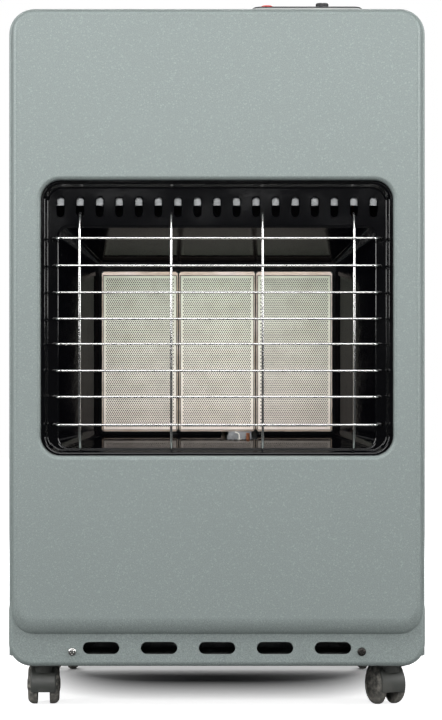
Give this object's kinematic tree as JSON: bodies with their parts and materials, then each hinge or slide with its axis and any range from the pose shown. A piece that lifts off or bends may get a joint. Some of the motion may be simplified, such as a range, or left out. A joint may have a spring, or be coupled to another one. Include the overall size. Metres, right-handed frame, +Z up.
{
  "type": "portable gas cabinet heater",
  "caption": "Free-standing gas cabinet heater on castors: pressed panel, enamelled burner surround with vents, wire guard, ceramic plaques, lift-off rear cover.",
  "frame": {"origin": "on the floor under the middle of the cabinet", "axes": "+X to the right as seen from the front, the front faces -Y, +Z up"},
  "size_m": [0.426, 0.4298, 0.73],
  "materials": {
    "powder_coat": "fine metallic grey-green powder coat, satin",
    "galvanised_sheet": "galvanised sheet, spangled",
    "black_enamel": "vitreous enamel, high gloss",
    "guard_chrome": "bright plated wire",
    "dark_screw": "blackened steel",
    "plaque_ceramic": "matt, finely perforated",
    "burner_steel": "aluminised sheet, slightly browned",
    "brass": "machined",
    "cast_aluminium": "die cast",
    "steel_tube": "drawn tube",
    "copper_lead": "copper capillary",
    "insulated_lead": "silicone sleeve",
    "electrode_ceramic": "glazed white",
    "console_plastic": "fine texture",
    "red_plastic": "gloss",
    "castor_plastic": "moulded nylon",
    "castor_wheel_plastic": "moulded nylon"
  },
  "bodies": {
    "cabinet": {"front_panel": "powder_coat", "casing_wrap": "powder_coat", "base_pan": "galvanised_sheet", "bulkhead": "galvanised_sheet", "heat_shield": "galvanised_sheet", "control_bracket": "galvanised_sheet", "castor_socket_front_left": "galvanised_sheet", "castor_socket_front_right": "galvanised_sheet", "castor_socket_rear_left": "galvanised_sheet", "castor_socket_rear_right": "galvanised_sheet", "burner_surround": "black_enamel", "guard_grille": "guard_chrome", "front_screw_left": "guard_chrome", "front_screw_right": "dark_screw", "ceramic_plaque_left": "plaque_ceramic", "ceramic_plaque_centre": "plaque_ceramic", "ceramic_plaque_right": "plaque_ceramic", "burner_body_left": "burner_steel", "burner_body_centre": "burner_steel", "burner_body_right": "burner_steel", "centre_injector": "brass", "side_injector_rail": "brass", "inlet_nozzle": "brass", "valve_body": "cast_aluminium", "pilot_burner": "cast_aluminium", "pilot_pipe": "steel_tube", "centre_burner_pipe": "steel_tube", "side_burner_pipe": "steel_tube", "thermocouple_lead": "copper_lead", "ignition_lead": "insulated_lead", "spark_electrode": "electrode_ceramic", "control_console": "console_plastic", "piezo_body": "console_plastic"},
    "rear_cover": {"rear_cover": "powder_coat"},
    "knob_push": {"valve_collar": "brass"},
    "knob": {"control_knob": "console_plastic", "valve_spindle": "brass"},
    "igniter_button": {"piezo_button": "red_plastic"},
    "castor_front_left": {"castor_hood_front_left": "castor_plastic", "castor_axle_front_left": "steel_tube"},
    "wheel_front_left_a": {"castor_wheel_front_left_a": "castor_wheel_plastic"},
    "wheel_front_left_b": {"castor_wheel_front_left_b": "castor_wheel_plastic"},
    "castor_front_right": {"castor_hood_front_right": "castor_plastic", "castor_axle_front_right": "steel_tube"},
    "wheel_front_right_a": {"castor_wheel_front_right_a": "castor_wheel_plastic"},
    "wheel_front_right_b": {"castor_wheel_front_right_b": "castor_wheel_plastic"},
    "castor_rear_left": {"castor_hood_rear_left": "castor_plastic", "castor_axle_rear_left": "steel_tube"},
    "wheel_rear_left_a": {"castor_wheel_rear_left_a": "castor_wheel_plastic"},
    "wheel_rear_left_b": {"castor_wheel_rear_left_b": "castor_wheel_plastic"},
    "castor_rear_right": {"castor_hood_rear_right": "castor_plastic", "castor_axle_rear_right": "steel_tube"},
    "wheel_rear_right_a": {"castor_wheel_rear_right_a": "castor_wheel_plastic"},
    "wheel_rear_right_b": {"castor_wheel_rear_right_b": "castor_wheel_plastic"}
  },
  "joints": [
    {"name": "rear_cover_lift_off", "type": "slide", "parent": "cabinet", "child": "rear_cover", "axis": [0, 0.7071, 0.7071], "range_m": [0, 0.3]},
    {"name": "knob_press", "type": "slide", "parent": "cabinet", "child": "knob_push", "axis": [0, 0, -1], "range_m": [0, 0.005], "stiffness_N_per_m": 600, "springref_m": -0.005},
    {"name": "knob_turn", "type": "hinge", "parent": "knob_push", "child": "knob", "pos_m": [0.109, -0.137, 0.72], "axis": [0, 0, 1], "range_deg": [0, 150]},
    {"name": "igniter_press", "type": "slide", "parent": "cabinet", "child": "igniter_button", "axis": [0, 0, -1], "range_m": [0, 0.006], "stiffness_N_per_m": 500, "springref_m": -0.004},
    {"name": "swivel_front_left", "type": "hinge", "parent": "cabinet", "child": "castor_front_left", "pos_m": [-0.1793, -0.162, 0.045], "axis": [0, 0, 1], "continuous": true},
    {"name": "wheel_turn_front_left_a", "type": "hinge", "parent": "castor_front_left", "child": "wheel_front_left_a", "pos_m": [-0.17979, -0.14801, 0.0205], "axis": [0.9994, 0.0349, 0], "continuous": true},
    {"name": "wheel_turn_front_left_b", "type": "hinge", "parent": "castor_front_left", "child": "wheel_front_left_b", "pos_m": [-0.17979, -0.14801, 0.0205], "axis": [0.9994, 0.0349, 0], "continuous": true},
    {"name": "swivel_front_right", "type": "hinge", "parent": "cabinet", "child": "castor_front_right", "pos_m": [0.1793, -0.162, 0.045], "axis": [0, 0, 1], "continuous": true},
    {"name": "wheel_turn_front_right_a", "type": "hinge", "parent": "castor_front_right", "child": "wheel_front_right_a", "pos_m": [0.17451, -0.14884, 0.0205], "axis": [0.9397, 0.342, 0], "continuous": true},
    {"name": "wheel_turn_front_right_b", "type": "hinge", "parent": "castor_front_right", "child": "wheel_front_right_b", "pos_m": [0.17451, -0.14884, 0.0205], "axis": [0.9397, 0.342, 0], "continuous": true},
    {"name": "swivel_rear_left", "type": "hinge", "parent": "cabinet", "child": "castor_rear_left", "pos_m": [-0.1793, 0.164, 0.045], "axis": [0, 0, 1], "continuous": true},
    {"name": "wheel_turn_rear_left_a", "type": "hinge", "parent": "castor_rear_left", "child": "wheel_rear_left_a", "pos_m": [-0.17639, 0.17769, 0.0205], "axis": [0.9781, -0.2079, 0], "continuous": true},
    {"name": "wheel_turn_rear_left_b", "type": "hinge", "parent": "castor_rear_left", "child": "wheel_rear_left_b", "pos_m": [-0.17639, 0.17769, 0.0205], "axis": [0.9781, -0.2079, 0], "continuous": true},
    {"name": "swivel_rear_right", "type": "hinge", "parent": "cabinet", "child": "castor_rear_right", "pos_m": [0.1793, 0.164, 0.045], "axis": [0, 0, 1], "continuous": true},
    {"name": "wheel_turn_rear_right_a", "type": "hinge", "parent": "castor_rear_right", "child": "wheel_rear_right_a", "pos_m": [0.17735, 0.17786, 0.0205], "axis": [0.9903, 0.1392, 0], "continuous": true},
    {"name": "wheel_turn_rear_right_b", "type": "hinge", "parent": "castor_rear_right", "child": "wheel_rear_right_b", "pos_m": [0.17735, 0.17786, 0.0205], "axis": [0.9903, 0.1392, 0], "continuous": true}
  ]
}
